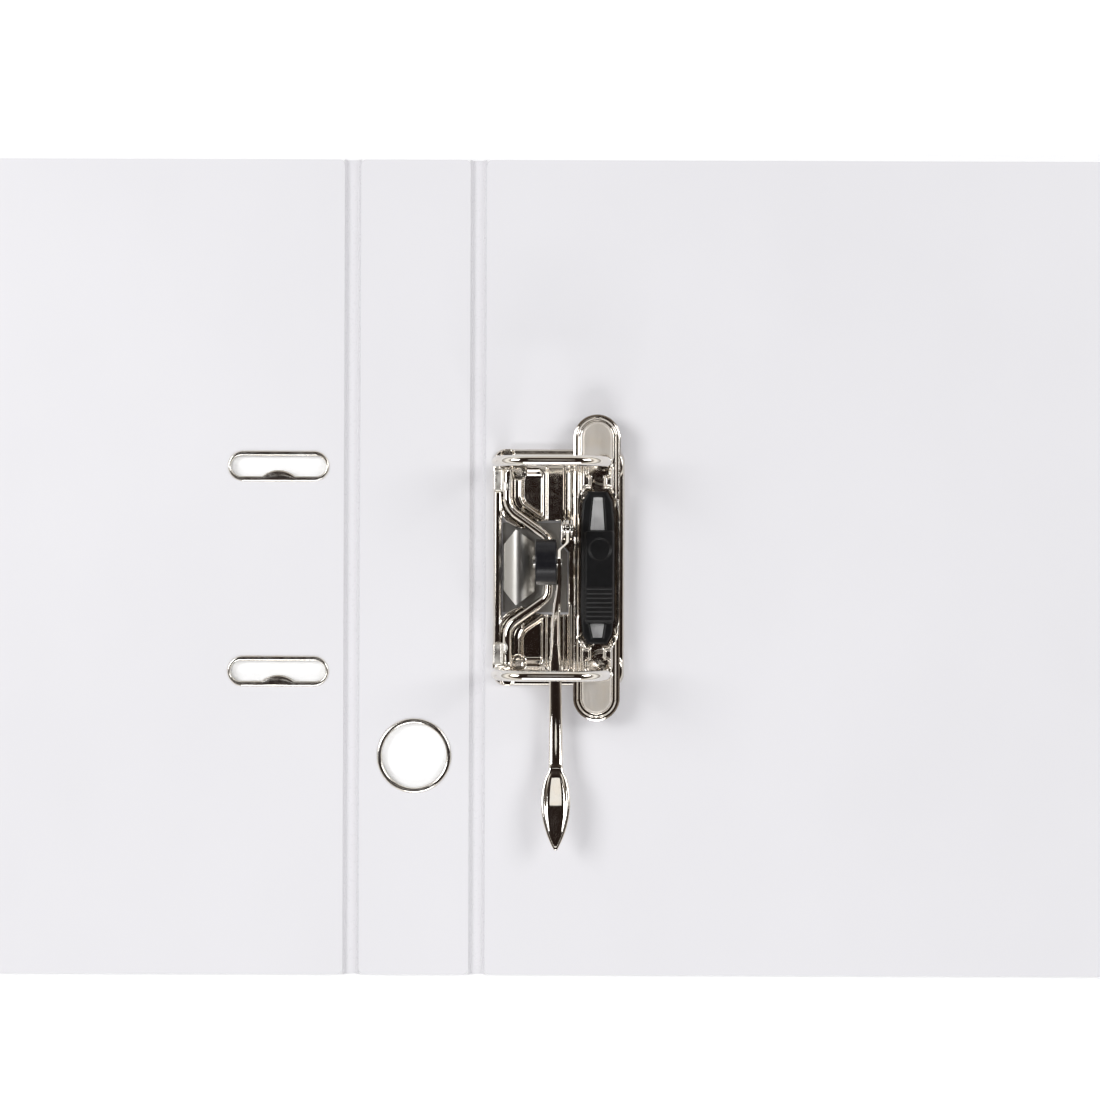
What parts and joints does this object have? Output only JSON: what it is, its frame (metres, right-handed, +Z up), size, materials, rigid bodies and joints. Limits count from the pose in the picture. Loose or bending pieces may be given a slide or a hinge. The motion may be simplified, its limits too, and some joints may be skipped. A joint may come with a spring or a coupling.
{
  "type": "lever arch file",
  "caption": "White A4 lever arch file, open flat, with nickel-plated two-ring mechanism, compressor bar, slot eyelets and finger ring.",
  "frame": {"origin": "middle of the open file, on the surface that it lies on, under the middle of the spine", "axes": "+X across the open file from the spine to the back cover that carries the mechanism, +Y along the spine to the top of the file, +Z up from the table"},
  "size_m": [0.6254, 0.318, 0.052],
  "materials": {
    "white_film": "fine-grained matte polypropylene",
    "greyboard": "unbleached greyboard",
    "white_lining": "fine-grained matte polypropylene",
    "hinge_film": "welded film, slightly glossy in the crease",
    "eyelet_metal": "bright nickel plating",
    "plate_metal": "bright nickel plating on pressed steel",
    "rivet_metal": "bright nickel plating",
    "wire_metal": "bright nickel plating on drawn wire",
    "lever_metal": "bright nickel plating",
    "pin_steel": "turned steel",
    "roller_plastic": "satin moulded black",
    "spring_steel": "rolled spring steel, brushed",
    "bar_metal": "nickel plating",
    "slider_plastic": "satin moulded black",
    "strip_steel": "bright brushed strip"
  },
  "bodies": {
    "back_cover": {"back_outer_film": "white_film", "back_board": "greyboard", "back_lining": "white_lining", "back_hinge_strip": "hinge_film", "base_plate": "plate_metal", "cover_rivets": "rivet_metal", "post_upper": "wire_metal", "post_lower": "wire_metal", "lever_pivot_pin": "pin_steel", "spring_lower_leaf": "spring_steel", "spring_upper_leaf": "spring_steel"},
    "spine": {"spine_outer_film": "white_film", "spine_board": "greyboard", "spine_lining": "white_lining", "finger_ring_inner": "eyelet_metal", "finger_ring_outer": "eyelet_metal"},
    "front_cover": {"front_outer_film": "white_film", "front_board": "greyboard", "front_lining": "white_lining", "front_hinge_strip": "hinge_film", "slot_eyelet_upper": "eyelet_metal", "slot_eyelet_lower": "eyelet_metal", "slot_backing_upper": "eyelet_metal", "slot_backing_lower": "eyelet_metal"},
    "arches": {"arch_wire": "wire_metal"},
    "lever_arm": {"lever": "lever_metal", "roller_pin": "pin_steel"},
    "roller_wheel": {"roller": "roller_plastic"},
    "compressor": {"compressor_bar": "bar_metal", "clamp_strip": "strip_steel"},
    "clamp": {"clamp_slider": "slider_plastic"}
  },
  "joints": [
    {"name": "back_fold", "type": "hinge", "parent": "back_cover", "child": "spine", "pos_m": [0.02565, 0, 0.0002], "axis": [0, 1, 0], "range_deg": [0, 90]},
    {"name": "front_fold", "type": "hinge", "parent": "spine", "child": "front_cover", "pos_m": [-0.02565, 0, 0.0002], "axis": [0, 1, 0], "range_deg": [0, 90]},
    {"name": "lever_pivot", "type": "hinge", "parent": "back_cover", "child": "lever_arm", "pos_m": [0.0532, 0.0152, 0.02505], "axis": [1, 0, 0], "range_deg": [-52, 0]},
    {"name": "arch_axle", "type": "hinge", "parent": "back_cover", "child": "arches", "pos_m": [0.0363, 0, 0.0054], "axis": [0, 1, 0], "range_deg": [-50, 0]},
    {"name": "roller_spin", "type": "hinge", "parent": "lever_arm", "child": "roller_wheel", "pos_m": [0.0512, 0.0022, 0.01725], "axis": [1, 0, 0], "continuous": true},
    {"name": "bar_slide", "type": "slide", "parent": "back_cover", "child": "compressor", "axis": [0, 0, 1], "range_m": [0, 0.018]},
    {"name": "clamp_slide", "type": "slide", "parent": "compressor", "child": "clamp", "axis": [0, 1, 0], "range_m": [-0.001, 0.001]}
  ],
  "couplings": [
    {"joint": "arch_axle", "follows": "lever_pivot", "ratio": 0.9615}
  ]
}
